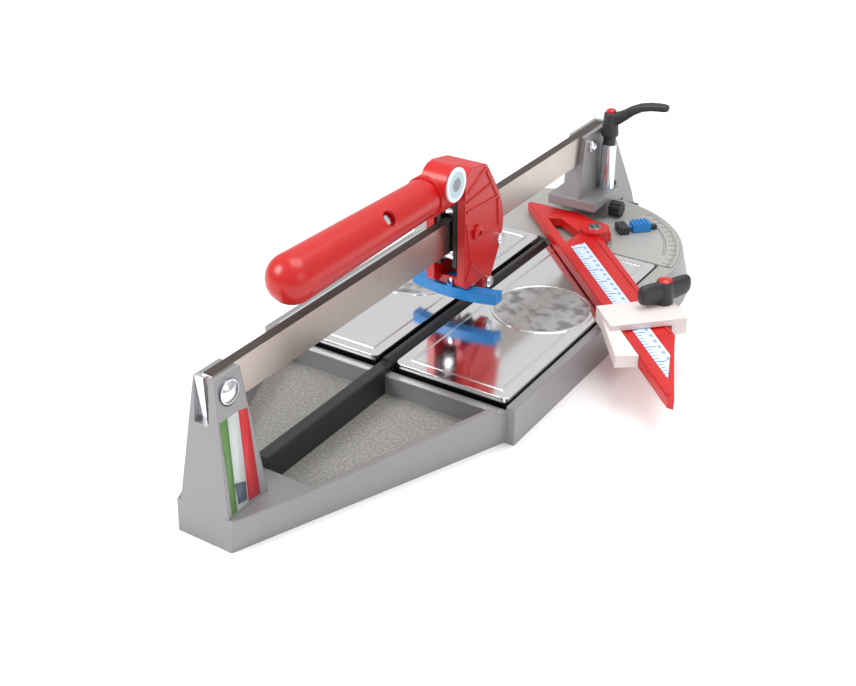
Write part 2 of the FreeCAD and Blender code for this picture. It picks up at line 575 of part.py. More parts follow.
def cheek_rib(name, y0, z0, y1, z1, wide):
    """A raised rib on a cheek's outer face, between two points."""
    length = math.hypot(y1 - y0, z1 - z0)
    dy = (z1 - z0) / length * wide / 2
    dz = (y1 - y0) / length * wide / 2
    points = [(y0 - dy, z0 + dz), (y0 + dy, z0 - dz), (y1 + dy, z1 - dz), (y1 - dy, z1 + dz)]
    return prism(name, "yz", points, "cheek_outer - 0.5", "rib_proud + 0.5")


def head_casting():
    """The red casting: two ribbed cheeks, a collar for the handle and a web under the rail."""
    plate = prism("cheek", "yz", CHEEK, "cheek_inner", "cheek_outer - cheek_inner")
    ribs = [cheek_rib("rib_top", 14, 160, 44, 174, 2.4), cheek_rib("rib_mid", 13, 152, 58, 157, 1.6),
            cheek_rib("rib_low", 13, 143, 68, 140, 2.4), cheek_rib("rib_web", 14, 127.5, 58, 110, 2),
            cheek_rib("rib_foot", 20, 94, 48, 66, 2.4), cheek_rib("rib_toe", 22, 92, 13, 77, 2),
            cheek_rib("rib_rear", 68, 112, 66, 138, 3), cheek_rib("rib_crown", 65, 141, 46, 170, 3),
            cheek_rib("rib_front", 12, 132, 20, 94, 2)]
    right = fuse("cheek_right", plate, *ribs)
    left = mirror("cheek_left", right)
    collar = rod("collar", "0", "-collar_front", "handle_z", "collar_radius", "collar_front + collar_rear", "y")
    crown = prism("crown", "yz", CROWN, "-cheek_inner", "2 * cheek_inner")
    boss = rod("badge_boss_rod", "cheek_outer - badge_boss", "badge_y", "badge_z", "badge_radius + badge_rim",
               "badge_boss", "x")
    relief = box("collar_relief", ("-cheek_inner", "cheek_inner"), ("2", "collar_rear + 1"),
                 ("handle_z - collar_radius - 1", "handle_z - yoke_gap"))
    web = box("web", ("-cheek_inner", "cheek_inner"), ("web_front", "web_rear"), ("web_low", "web_top"))
    bore = rod("collar_bore", "0", "-collar_front - 1", "handle_z", "tube_radius + fit", "collar_front + 3", "y")
    pivot = rod("pivot_bore", "-40", "pivot_y", "pivot_z", "stub_radius + fit", "80", "x")
    lug_slot = box("lug_slot", ("-lug_half - play", "lug_half + play"), ("web_front + 3", "web_rear - 4"),
                   ("web_low - 1", "web_top + 1"))
    pin_bore = rod("foot_pin_bore", "0", "10", "foot_pin_z", "foot_pin_radius", "30", "y")
    bolts = [rod(f"clamp_bore_{i}", "-40", y, z, "bolt_shank", "80", "x") for i, (y, z) in enumerate(CLAMP_BOLTS)]
    faces = [rod(f"clamp_face_{i}", "cheek_outer", y, z, "bolt_head + 0.5", "9", "x")
             for i, (y, z) in enumerate(CLAMP_BOLTS)]
    pivot_face = rod("pivot_face", "cheek_outer", "pivot_y", "pivot_z", "pin_head + 1", "9", "x")
    right_faces = fuse("right_faces", pivot_face, *faces)
    head_collar = cut("collar_shape", fuse("collar_solid", collar, boss), relief)
    solid = fuse("head_solid", right, left, head_collar, crown, web)
    sub_part(cut("head_shape", solid, bore, pivot, lug_slot, pin_bore, right_faces,
                 mirror("left_faces", right_faces), *bolts), "head_casting")


def badge():
    """A plain round plate on the boss of the collar."""
    plate = rod("badge_disc", "cheek_outer", "badge_y", "badge_z", "badge_radius", "badge_thick", "x")
    sub_part(plate, "badge_plate")


def handle():
    """Steel tube, moulded grip with its nose, and the screw in the grip's side."""
    tube = rod("tube", "0", "-tube_front", "handle_z", "tube_radius", "tube_front + 2", "y")
    tilt = FreeCAD.Placement(FreeCAD.Vector(0, -size("grip_screw_y"), size("handle_z")),
                             FreeCAD.Rotation(FreeCAD.Vector(0, 1, 0), -size("grip_screw_tilt")))
    tube_hole = group("tube_hole", rod("tube_hole_rod", "-20", "0", "0", "bolt_shank - 1", "40", "x"))
    tube_hole.Placement = tilt
    sub_part(cut("tube_shape", tube, tube_hole), "handle_tube")
    nose_y = "-grip_nose + grip_big"
    sleeve = cone("sleeve", "0", nose_y, "handle_z", "grip_big", "grip_small",
                  "grip_nose - grip_big - collar_front", "y")
    nose = doc.addObject("Part::Sphere", "nose")
    nose.Placement = FreeCAD.Placement(FreeCAD.Vector(), TURN["y"])
    nose.Angle2 = 0
    bind(nose, Radius="grip_big")
    locate(nose, "0", nose_y, "handle_z")
    hollow = rod("grip_hollow", "0", "-tube_front", "handle_z", "tube_radius + fit", "tube_front", "y")
    recess = rod("grip_recess", "recess_floor", "0", "0", "recess_radius", "15", "x")
    passage = rod("grip_passage", "0", "0", "0", "bolt_shank - 1", "20", "x")
    opening = fuse("grip_opening", recess, passage)
    opening.Placement = tilt
    sub_part(cut("grip_shape", fuse("grip_solid", sleeve, nose), hollow, opening), "handle_grip")
    shank = rod("grip_screw_shank", "-6", "0", "0", "bolt_shank - 1", "recess_floor + 6", "x")
    head = rod("grip_screw_head", "recess_floor", "0", "0", "recess_radius - 2.4", "2.4", "x")
    sub_part(fuse("grip_screw_shape", shank, head), "grip_screw", tilt)


def clamp_bolts():
    """Chrome screws in the rear edge of both cheeks."""
    screws = []
    for i, (y, z) in enumerate(CLAMP_BOLTS):
        shank = rod(f"clamp_shank_{i}", "cheek_inner", y, z, "bolt_shank", "cheek_outer - cheek_inner", "x")
        head = rod(f"clamp_head_{i}", "cheek_outer", y, z, "bolt_head - 0.5", "3", "x")
        cap = cone(f"clamp_cap_{i}", "cheek_outer + 3", y, z, "bolt_head - 1", "bolt_head - 2.5", "1.6", "x")
        screws.append(fuse(f"clamp_screw_{i}", shank, head, cap))
    right = group("clamp_screws_right", *screws)
    sub_part(group("clamp_screw_set", right, mirror("clamp_screws_left", right)), "head_screws")


def wheel_set():
    """Fork, axle and scoring wheel behind the breaker foot."""
    fork = box("fork_body", ("-cheek_inner", "cheek_inner"), ("wheel_y - 6.8", "wheel_y + 2.5"), ("wheel_z + wheel_radius + 1", "84"))
    arms = box("fork_arms", ("-fork_half", "fork_half"), ("wheel_y - 6.8", "wheel_y + 6"),
               ("wheel_z - 4", "84"))
    gap = box("fork_gap", ("-wheel_thick / 2 - play", "wheel_thick / 2 + play"),
              ("wheel_y - 20", "wheel_y + 20"), ("wheel_z - 10", "wheel_z + wheel_radius + 1"))
    bore = rod("fork_bore", "-fork_half - 1", "wheel_y", "wheel_z", "axle_radius", "2 * fork_half + 2", "x")
    sub_part(cut("fork_shape", fuse("fork_solid", fork, arms), gap, bore), "wheel_fork")
    sub_part(rod("wheel_pin", "-fork_half", "wheel_y", "wheel_z", "axle_radius", "2 * fork_half", "x"), "wheel_axle")
    edge = "(wheel_thick / 2 - 0.3)"
    right = cone("wheel_right", "0.3", "wheel_y", "wheel_z", "wheel_radius", "wheel_radius - 1.6", edge, "x")
    rim = rod("wheel_rim", "-0.3", "wheel_y", "wheel_z", "wheel_radius", "0.6", "x")
    left = cone("wheel_left", "-wheel_thick / 2", "wheel_y", "wheel_z", "wheel_radius - 1.6", "wheel_radius", edge, "x")
    hole = rod("wheel_hole", "-5", "wheel_y", "wheel_z", "axle_radius + fit", "10", "x")
    sub_part(cut("wheel_shape", fuse("wheel_solid", right, rim, left), hole), "scoring_wheel")


def breaker_foot():
    """The blue breaker foot: a bowed bar with a lug that rocks on its pin."""
    centre = "foot_y + foot_bow"
    outer = rod("foot_outer", "0", centre, "foot_low", "foot_bow + foot_deep / 2", "foot_top - foot_low")
    inner = rod("foot_inner", "0", centre, "foot_low - 1", "foot_bow - foot_deep / 2", "foot_top - foot_low + 2")
    reach = box("foot_reach", ("-foot_half", "foot_half"), ("foot_y - 20", "foot_y + 30"),
                ("foot_low", "foot_top"))
    bar = common("foot_bar", cut("foot_ring", outer, inner), reach)
    lug = box("foot_lug", ("-lug_half", "lug_half"), ("web_front + 3 + play", "web_rear - 4 - play"),
              ("foot_low + 2", "web_top - 0.5"))
    nib = box("foot_nib", ("-3", "3"), ("foot_y - foot_deep / 2 + 0.5", "web_front - play - 0.4"),
              ("foot_low + 2", "web_top - 2"))
    bore = rod("foot_bore", "0", "10", "foot_pin_z", "foot_pin_radius + fit", "30", "y")
    sub_part(cut("foot_shape", fuse("foot_solid", bar, lug, nib), bore), "breaker_foot")
    sub_part(rod("foot_pin_rod", "0", "web_front", "foot_pin_z", "foot_pin_radius", "web_rear - web_front", "y"), "foot_pin")


# ---------------------------------------------------------------- swivel fence
def swivel_fence():
    """The red fence with its head, window and boss, in its own frame."""
    plate = prism("fence_plate", "xy",
                  [("-fence_tail", "3"), ("-fence_tail + 3", "0"), ("fence_nose - 4", "0"),
                   ("fence_nose", "4"), ("fence_nose - 48", "23"), ("252", "37"),
                   ("236", "fence_deep - 3"),
                   ("boss_u + boss_radius", "fence_deep"), ("boss_u + 8", "boss_v + boss_radius"),
                   ("boss_u - 8", "boss_v + boss_radius"), ("-12", "52"), ("-33", "44"), ("-44", "30"),
                   ("-62", "14")],
                  "fence_low", "fence_top - fence_low")
    window = prism("fence_window", "xy", [("-26", "9.5"), ("34", "9.5"), ("16", "31"), ("-22", "22")],
                   "fence_low - 1", "20")
    boss = rod("fence_boss", "boss_u", "boss_v", "fence_low", "boss_radius", "boss_top - fence_low")
    rail = box("fence_lip", ("-fence_tail + 6", "fence_nose - 8"), ("1", "4"), ("fence_top - 1", "fence_top + 0.8"))
    back = box("fence_back_lip", ("boss_u + boss_radius + 4", "232"), ("fence_deep - 7", "fence_deep - 4.5"),
               ("fence_top - 1", "fence_top + 0.8"))
    bore = rod("fence_bore", "boss_u", "boss_v", "fence_low - 1", "bolt_shank", "30")
    solid = fuse("fence_solid", plate, boss, rail, back)
    sub_part(cut("fence_shape", solid, window, bore), "swivel_fence", fence_place)


def fence_fittings():
    """Scale tape, the shoe that runs in the deck's arc slot, and the screw that clamps it."""
    tape = prism("tape", "xy", [("tape_u0", "tape_v0"), ("tape_u1", "tape_v0"), ("tape_u1 - 36", "tape_v1"),
                                ("tape_u0 - 5", "tape_v1")], "fence_top", "tape_thick")
    sub_part(group("tape_set", tape), "fence_scale", fence_place)
    shoe = sector("shoe", "shoe_radius - shoe_half", "shoe_radius + shoe_half", "shoe_low", "fence_low",
                  size("shoe_start"), "shoe_sweep")
    hole = rod("shoe_hole", "boss_u", "boss_v", "shoe_low - 1", "bolt_shank", "20")
    sub_part(cut("shoe_shape", shoe, hole), "fence_shoe", fence_place)
    shank = rod("clamp_screw_shank", "boss_u", "boss_v", "shoe_low + 1", "bolt_shank", "boss_top - shoe_low - 1")
    head = rod("clamp_screw_head", "boss_u", "boss_v", "boss_top", "bolt_head + 0.5", "1.4")
    slot = box("clamp_screw_slot", ("boss_u - 10", "boss_u + 10"), ("boss_v - 0.6", "boss_v + 0.6"),
               ("boss_top + 0.6", "boss_top + 3"))
    sub_part(cut("clamp_screw", fuse("clamp_screw_solid", shank, head), slot), "fence_clamp_screw", fence_place)


def tile_stop():
    """The stop that slides along the fence, with its stud, wing knob and cap."""
    plate_low = "fence_top + 0.8 + play"
    plate_top = f"({plate_low} + stop_plate)"
    bridge = box("stop_bridge", ("stop_u0", "stop_u1"), ("-stop_v0", "stop_v1"), (plate_low, plate_top))
    front = box("stop_front", ("stop_u0", "stop_u1"), ("-stop_v0", "-play"), ("stop_low", plate_low))
    back = box("stop_back", ("stop_u0", "stop_u1"), ("fence_deep + play", "stop_v1"), ("stop_low", plate_low))
    tongue = prism("stop_tongue", "xy",
                   [("stop_u0 + 12", "-play"), ("stop_u1 + 46", "-play"), ("stop_u1 + 43", "-20"),
                    ("stop_u0 + 14", "-stop_v0")],
                   "stop_low", "fence_top + 2.4 - stop_low")
    bore = rod("stop_bore", "knob_u", "knob_v", "stop_low - 1", "bolt_shank", "30")
    sub_part(cut("stop_shape", fuse("stop_solid", bridge, front, back, tongue), bore), "tile_stop", fence_place)
    stud = rod("stud_rod", "knob_u", "knob_v", "stop_low + 1", "bolt_shank", "knob_top - 6 - stop_low - 1")
    sub_part(group("stud_set", stud), "stop_stud", fence_place)
    hub = cone("knob_hub", "knob_u", "knob_v", "knob_low", "hub_radius", "hub_radius - 1.5", "knob_top - knob_low")
    wings = []
    across = size("wing_angle")
    reach = FreeCAD.Vector(math.cos(math.radians(across)), math.sin(math.radians(across)), 0)
    spin = FreeCAD.Rotation(FreeCAD.Vector(0, 0, 1), across + 90) * TURN["x"]
    for side in (1, -1):
        wing = doc.addObject("Part::Cylinder", f"wing_{'a' if side > 0 else 'b'}")
        wing.Placement = FreeCAD.Placement(FreeCAD.Vector(), spin)
        bind(wing, Radius="wing_tall", Height="wing_thick")
        locate(wing, f"knob_u + wing_reach * ({side * reach.x:.5f}) + wing_thick / 2 * ({reach.y:.5f})",
               f"knob_v + wing_reach * ({side * reach.y:.5f}) - wing_thick / 2 * ({reach.x:.5f})",
               "knob_low + wing_tall + 2")
        wings.append(wing)
    bore = rod("knob_bore", "knob_u", "knob_v", "knob_low - 1", "bolt_shank + fit", "knob_top - 5 - knob_low")
    dish = rod("knob_dish", "knob_u", "knob_v", "knob_top - 2", "hub_radius - 2.5", "20")
    sub_part(cut("knob_shape", fuse("knob_solid", hub, *wings), bore, dish), "wing_knob", fence_place)
    plug = rod("cap_plug", "knob_u", "knob_v", "knob_top - 2", "hub_radius - 2.5", "2.5")
    top = dome("cap_top", "knob_u", "knob_v", "knob_top + 0.5", "hub_radius - 2.5", "2")
    sub_part(fuse("cap_shape", plug, top), "knob_cap", fence_place)


# ---------------------------------------------------------------- clamp post, latch and thumbscrew
def clamp_post():
    """The bright post beside the rear column, its neck, ratchet lever and release button."""
    post = rod("post_rod", "post_x", "post_y", "slab_top", "post_radius", "post_top - slab_top")
    sub_part(post, "clamp_post")
    neck = rod("neck_rod", "post_x", "post_y", "post_top", "neck_radius", "neck_top - post_top")
    spigot = rod("neck_spigot", "post_x", "post_y", "neck_top", "3", "10")
    sub_part(fuse("neck_shape", neck, spigot), "post_neck")
    hub = cone("lever_hub_cone", "post_x", "post_y", "neck_top + play", "lever_hub", "lever_hub - 1.5",
               "lever_top - neck_top - play")
    arm = prism("lever_arm", "xz",
                [("post_x + 3", "neck_top + 12"), ("post_x + 10", "neck_top + 16"),
                 ("post_x + 20", "neck_top + 25"), ("post_x + 32", "neck_top + 32"),
                 ("post_x + 46", "neck_top + 35.5"), ("post_x + 56", "neck_top + 36"),
                 ("post_x + 61", "neck_top + 39"), ("post_x + 62", "neck_top + 43"),
                 ("post_x + 58", "neck_top + 45"), ("post_x + 44", "neck_top + 44"),
                 ("post_x + 30", "neck_top + 41"), ("post_x + 14", "neck_top + 34"),
                 ("post_x + 3", "neck_top + 26")],
                "post_y - 5.5", "11")
    bore = rod("lever_bore", "post_x", "post_y", "button_low - 4", "button_radius + fit", "20")
    pilot = rod("lever_pilot", "post_x", "post_y", "neck_top", "3 + fit", "11")
    sub_part(cut("lever_shape", fuse("lever_solid", hub, arm), bore, pilot), "clamp_lever")
    stem = rod("button_stem", "post_x", "post_y", "button_low", "button_radius", "lever_top + button_proud - button_low - 2")
    top = dome("button_top", "post_x", "post_y", "lever_top + button_proud - 2", "button_radius", "2")
    sub_part(fuse("button_shape", stem, top), "release_button")


def deck_fittings():
    """Angle dial on the deck, and the latch with its bracket, built along the dial's radius."""
    dial = sector("dial", "dial_inner", "dial_outer", "deck_top", "deck_top + dial_thick", 3, "58",
                  "0", "swing_y")
    groove = sector("dial_groove", "118", "120.4", "deck_top + 0.3", "deck_top + 3", 14, "44", "0", "swing_y")
    clear = box("dial_clear", ("0", "200"), ("swing_y - 10", "bay_rear + 0.5"), ("deck_top - 1", "deck_top + 5"))
    sub_part(cut("dial_shape", dial, groove, clear), "angle_dial")
    low = "deck_top + dial_thick"
    bracket = box("bracket_body", ("bracket_near", "bracket_far"), ("-latch_half - 2", "latch_half + 2"),
                  (low, f"{low} + latch_tall - 1"))
    guide = rod("bracket_bore", "bracket_near - 1", "0", f"{low} + latch_tall / 2", "axle_radius + fit", "20", "x")
    sub_part(cut("bracket_shape", bracket, guide), "latch_bracket", latch_place)
    body = box("latch_body", ("latch_near", "latch_far"), ("-latch_half", "latch_half"),
               (f"{low} + play", f"{low} + latch_tall"))
    stem = rod("latch_stem", "bracket_near + 2", "0", f"{low} + latch_tall / 2", "axle_radius",
               "latch_near - bracket_near", "x")
    grips = [box(f"latch_grip_{i}", (f"latch_near + {3 + 4 * i}", f"latch_near + {4.6 + 4 * i}"),
                 ("-latch_half", "latch_half"), (f"{low} + latch_tall - 1", f"{low} + latch_tall + 1.2"))
             for i in range(4)]
    sub_part(fuse("latch_shape", body, stem, *grips), "angle_latch", latch_place)
    tip = box("latch_tip_body", ("latch_far", "latch_far + 8"), ("-2.6", "2.6"), (f"{low} + play", f"{low} + 5"))
    sub_part(group("latch_tip_set", tip), "latch_tip", latch_place)


def thumbscrew(node, side, half, radius, long):
    """A fluted dark thumbscrew in one end of the rear column's leg."""
    start = f"{half} + play" if side > 0 else f"-({half}) - play - ({long})"
    inner = f"{half} - 8" if side > 0 else f"-({half}) - play - 1"
    knob = rod(node + "_knob", start, "thumb_y", "thumb_z", radius, long, "x")
    shank = rod(node + "_shank", inner, "thumb_y", "thumb_z", "bolt_shank", "9 + play", "x")
    flutes = []
    for i in range(8):
        angle = math.radians(45 * i)
        flutes.append(rod(f"{node}_flute_{i}", f"{start} - 1",
                          f"thumb_y + (({radius}) + 0.8) * ({math.cos(angle):.4f})",
                          f"thumb_z + (({radius}) + 0.8) * ({math.sin(angle):.4f})", "1.8", f"({long}) + 2", "x"))
    sub_part(cut(node + "_shape", fuse(node + "_solid", knob, shank), *flutes), node)


# ---------------------------------------------------------------- make, check and write
base_casting()
rubber_pads()
breaking_bar()
column_bolts()
bar_screws()
guide_rail()
front_column()
rear_column()
rail_fixings()
platens()
carriage()
head_casting()
badge()
handle()
clamp_bolts()
wheel_set()
breaker_foot()
swivel_fence()
fence_fittings()
tile_stop()
clamp_post()
deck_fittings()
thumbscrew("left_thumbscrew", -1, "slab_half", "thumb_radius", "thumb_long")
thumbscrew("right_thumbscrew", 1, "slab_half + 3", "lock_radius", "lock_long")
doc.recompute()

faults = [item.Label for item in doc.Objects if {"Invalid", "Error"} & set(item.State)]
faults += [item.Label for item in sub_parts if item.Shape.isNull() or not item.Shape.isValid()]
faults += [item.Label for item in sub_parts if not item.Shape.Solids]
if faults:
    raise RuntimeError("failed objects: " + ", ".join(faults))

os.makedirs("parts", exist_ok=True)
for item in sub_parts:
    item.Shape.exportStep(f"parts/{item.Label}.step")
    print(f"{item.Label:22s} {len(item.Shape.Solids):2d} solids  {item.Shape.Volume / 1000:9.2f} cm3")
print(len(sub_parts), "nodes")
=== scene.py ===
# %% [markdown]
# # Tile cutter: looks
#
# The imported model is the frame: every piece keeps its place.  Each cell below makes one set of
# pieces or materials and prints what it made.

# %% Load the frame
import bpy
import bmesh
import json
import math
from mathutils import Matrix, Vector


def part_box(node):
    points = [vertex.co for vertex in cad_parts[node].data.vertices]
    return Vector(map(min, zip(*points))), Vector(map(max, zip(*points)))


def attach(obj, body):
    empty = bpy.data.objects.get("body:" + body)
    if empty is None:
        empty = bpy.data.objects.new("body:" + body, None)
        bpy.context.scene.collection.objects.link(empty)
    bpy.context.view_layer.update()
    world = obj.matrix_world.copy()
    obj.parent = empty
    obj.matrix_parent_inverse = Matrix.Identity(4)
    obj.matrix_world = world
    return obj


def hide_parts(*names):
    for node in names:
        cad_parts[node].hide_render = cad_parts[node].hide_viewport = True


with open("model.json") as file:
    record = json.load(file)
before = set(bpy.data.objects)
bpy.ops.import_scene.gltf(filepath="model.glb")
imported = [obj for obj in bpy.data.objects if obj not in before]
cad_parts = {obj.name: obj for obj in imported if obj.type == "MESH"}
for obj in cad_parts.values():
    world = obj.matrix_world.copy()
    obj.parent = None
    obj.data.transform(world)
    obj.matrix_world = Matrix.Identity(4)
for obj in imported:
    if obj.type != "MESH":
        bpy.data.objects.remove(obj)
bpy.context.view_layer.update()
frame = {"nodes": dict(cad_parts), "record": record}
nodes = frame["nodes"]

# %% [markdown]
# ## Materials
#
# One builder serves every finish: a base colour that drifts a little over the piece, a roughness
# that drifts with it, fine grain as bump, and edges that catch light as if slightly rounded.

# %% Material builder
def linear(red, green, blue):
    """Display values from 0 to 255, as linear colour."""
    values = [v / 255 for v in (red, green, blue)]
    return [v / 12.92 if v <= 0.04045 else ((v + 0.055) / 1.055) ** 2.4 for v in values] + [1.0]


def node(tree, kind, place, **inputs):
    """A shader node with its inputs set."""
    made = tree.nodes.new(kind)
    made.location = place
    for key, value in inputs.items():
        made.inputs[key.replace("_", " ")].default_value = value
    return made


COAT_ROUGH = 0.08
PATCH_SCALE = 18.0
GRAIN_DEEP = 0.0004


def finish(name, colour, rough, metal=0.0, drift=0.08, grain=400.0, depth=0.05, coat=0.0, edge=0.0008):
    """A procedural surface in object coordinates."""
    material = bpy.data.materials.new(name)
    material.use_nodes = True
    tree = material.node_tree
    shader = tree.nodes["Principled BSDF"]
    shader.inputs["Metallic"].default_value = metal
    shader.inputs["Coat Weight"].default_value = coat
    shader.inputs["Coat Roughness"].default_value = COAT_ROUGH
    where = node(tree, "ShaderNodeTexCoord", (-1100, 0))
    cloud = node(tree, "ShaderNodeTexNoise", (-900, 150), Scale=PATCH_SCALE, Detail=4.0)
    fine = node(tree, "ShaderNodeTexNoise", (-900, -200), Scale=grain, Detail=3.0)
    for texture in (cloud, fine):
        tree.links.new(where.outputs["Object"], texture.inputs["Vector"])
    tint = node(tree, "ShaderNodeMix", (-500, 200))
    tint.data_type = "RGBA"
    tint.inputs["A"].default_value = colour
    tint.inputs["B"].default_value = [c * (1 - 3 * drift) for c in colour[:3]] + [1.0]
    band = node(tree, "ShaderNodeMapRange", (-700, 200), From_Min=0.35, From_Max=0.75, To_Max=drift * 4)
    tree.links.new(cloud.outputs["Fac"], band.inputs["Value"])
    tree.links.new(band.outputs["Result"], tint.inputs["Factor"])
    tree.links.new(tint.outputs["Result"], shader.inputs["Base Color"])
    sheen = node(tree, "ShaderNodeMapRange", (-500, -50), To_Min=rough * 0.8, To_Max=min(1.0, rough * 1.25))
    tree.links.new(cloud.outputs["Fac"], sheen.inputs["Value"])
    tree.links.new(sheen.outputs["Result"], shader.inputs["Roughness"])
    round_edge = node(tree, "ShaderNodeBevel", (-500, -450), Radius=edge)
    round_edge.samples = 4
    bump = node(tree, "ShaderNodeBump", (-280, -300), Strength=depth, Distance=GRAIN_DEEP)
    tree.links.new(fine.outputs["Fac"], bump.inputs["Height"])
    tree.links.new(round_edge.outputs["Normal"], bump.inputs["Normal"])
    tree.links.new(bump.outputs["Normal"], shader.inputs["Normal"])
    return material


# %% [markdown]
# Small helpers place a second look on part of a finish: a mask made from object coordinates mixes
# a new colour, roughness or metal over the first.

# %% Mask helpers
def calc(tree, operation, *values):
    """One step of arithmetic on sockets and numbers."""
    step = tree.nodes.new("ShaderNodeMath")
    step.operation = operation
    for i, value in enumerate(values):
        if isinstance(value, (int, float)):
            step.inputs[i].default_value = value
        else:
            tree.links.new(value, step.inputs[i])
    return step.outputs[0]


def place(tree):
    """The x, y and z of the shaded point."""
    source = tree.nodes.new("ShaderNodeTexCoord")
    split = tree.nodes.new("ShaderNodeSeparateXYZ")
    tree.links.new(source.outputs["Object"], split.inputs["Vector"])
    return split.outputs["X"], split.outputs["Y"], split.outputs["Z"]


def facing_up(tree):
    """One where a face looks up, zero elsewhere."""
    shape = tree.nodes.new("ShaderNodeNewGeometry")
    split = tree.nodes.new("ShaderNodeSeparateXYZ")
    tree.links.new(shape.outputs["True Normal"], split.inputs["Vector"])
    return calc(tree, "GREATER_THAN", split.outputs["Z"], 0.7)


def between(tree, value, low, high):
    """One where a value lies between two limits."""
    above = calc(tree, "GREATER_THAN", value, low)
    return calc(tree, "MULTIPLY", above, calc(tree, "LESS_THAN", value, high))


def distance(tree, first, second):
    """The length of two values at a right angle."""
    squares = [calc(tree, "MULTIPLY", value, value) for value in (first, second)]
    return calc(tree, "SQRT", calc(tree, "ADD", *squares))


def stripes(tree, value, pitch, share):
    """One on a share of every pitch."""
    turn = calc(tree, "FRACT", calc(tree, "DIVIDE", value, pitch))
    return calc(tree, "LESS_THAN", turn, share)


def speckle(tree, scale, low, high):
    """Coarse noise as a mask."""
    source = tree.nodes.new("ShaderNodeTexCoord")
    noise = node(tree, "ShaderNodeTexNoise", (0, 600), Scale=scale, Detail=5.0)
    limits = node(tree, "ShaderNodeMapRange", (0, 600), From_Min=low, From_Max=high)
    tree.links.new(source.outputs["Object"], noise.inputs["Vector"])
    tree.links.new(noise.outputs["Fac"], limits.inputs["Value"])
    return limits.outputs["Result"]


def over(material, mask, **looks):
    """Mix new values over a finish where the mask is one."""
    tree = material.node_tree
    shader = tree.nodes["Principled BSDF"]
    sockets = {"colour": "Base Color", "rough": "Roughness", "metal": "Metallic"}
    for key, value in looks.items():
        target = shader.inputs[sockets[key]]
        mix = tree.nodes.new("ShaderNodeMix")
        mix.data_type = "RGBA" if key == "colour" else "FLOAT"
        if target.is_linked:
            tree.links.new(target.links[0].from_socket, mix.inputs["A"])
        else:
            mix.inputs["A"].default_value = target.default_value
        mix.inputs["B"].default_value = value
        tree.links.new(mask, mix.inputs["Factor"])
        tree.links.new(mix.outputs["Result"], target)


# %% [markdown]
# The finishes, by the record's material slots.

# %% Finishes
# Colour, roughness, metal, colour drift, grain scale, grain depth, coat and edge radius in metres
SLOTS = {
    "grey_casting": ((146, 145, 147), 0.36, 0.35, 0.06, 700, 0.3, 0.0, 0.0014),
    "black_bar": ((36, 35, 35), 0.36, 0.0, 0.1, 500, 0.15, 0.0, 0.001),
    "rubber_black": ((35, 35, 36), 0.7, 0.0, 0.08, 400, 0.05, 0.0, 0.0008),
    "bright_steel": ((225, 227, 232), 0.14, 1.0, 0.02, 900, 0.02, 0.0, 0.0006),
    "rail_steel": ((196, 186, 178), 0.28, 1.0, 0.05, 900, 0.05, 0.0, 0.0006),
    "platen_aluminium": ((238, 238, 240), 0.12, 1.0, 0.02, 55, 0.12, 0.0, 0.0012),
    "red_paint": ((196, 14, 12), 0.34, 0.0, 0.08, 300, 0.06, 0.1, 0.0014),
    "red_plastic": ((190, 14, 12), 0.3, 0.0, 0.08, 500, 0.05, 0.12, 0.001),
    "blue_plastic": ((28, 128, 200), 0.38, 0.0, 0.05, 500, 0.05, 0.0, 0.001),
    "black_plastic": ((40, 40, 42), 0.4, 0.0, 0.1, 600, 0.1, 0.0, 0.0012),
    "cream_plastic": ((222, 212, 210), 0.42, 0.0, 0.05, 500, 0.05, 0.0, 0.0012),
    "white_plate": ((226, 234, 238), 0.35, 0.0, 0.03, 500, 0.02, 0.0, 0.0003),
    "dark_steel": ((105, 105, 107), 0.4, 0.6, 0.05, 600, 0.1, 0.0, 0.0006),
}
looks = {name: finish(name, linear(*colour), *values) for name, (colour, *values) in SLOTS.items()}
for part in frame["record"]["subparts"]:
    mesh = nodes[part["node"]].data
    mesh.materials.clear()
    mesh.materials.append(looks[part["material_slot"]])
print("finishes:", len(looks))


def own_look(name, slot, *wanted):
    """A copy of a slot's finish for one or more nodes."""
    material = looks[slot].copy()
    material.name = name
    for target in wanted:
        nodes[target].data.materials[0] = material
    return material


SWING_Y = 0.203
HALF_TURN = math.sqrt(0.5)


# %% [markdown]
# The base: rough speckled floors in the wells, a lighter round deck, and the platen bay floor painted near
# black as painted shade in the gap around the platens.

# %% Base look
base_look = own_look("base_casting_look", "grey_casting", "base_casting")
tree = base_look.node_tree
z = place(tree)[2]
WELL_BELOW, DECK_ABOVE, BAY_LEVELS = 0.0135, 0.0375, (0.018, 0.0225)
well_floor = calc(tree, "MULTIPLY", facing_up(tree), calc(tree, "LESS_THAN", z, WELL_BELOW))
over(base_look, well_floor, colour=linear(128, 127, 123), rough=0.6, metal=0.1)
rough_cast = calc(tree, "MULTIPLY", well_floor, speckle(tree, 420, 0.42, 0.7))
over(base_look, rough_cast, colour=linear(158, 157, 153))
deck_face = calc(tree, "MULTIPLY", facing_up(tree), calc(tree, "GREATER_THAN", z, DECK_ABOVE))
over(base_look, deck_face, colour=linear(160, 160, 157), rough=0.5, metal=0.1)
# The bay floor is painted near black: painted shade that darkens the gap around the platens.
bay_shade_mask = calc(tree, "MULTIPLY", between(tree, z, *BAY_LEVELS), facing_up(tree))
over(base_look, bay_shade_mask, colour=linear(30, 30, 31), metal=0.0)
print("base look: wells, deck and bay")

# %% [markdown]
# The rail's top edge is painted dark as painted shade, its sides are ground bright.

# %% Rail look
rail_look = own_look("guide_rail_look", "rail_steel", "guide_rail")
tree = rail_look.node_tree
# Faces that look up are painted dark: painted shade on the rail's top edge.
over(rail_look, facing_up(tree), colour=linear(70, 61, 57), rough=0.45, metal=0.4)
print("rail look: dark top edge")
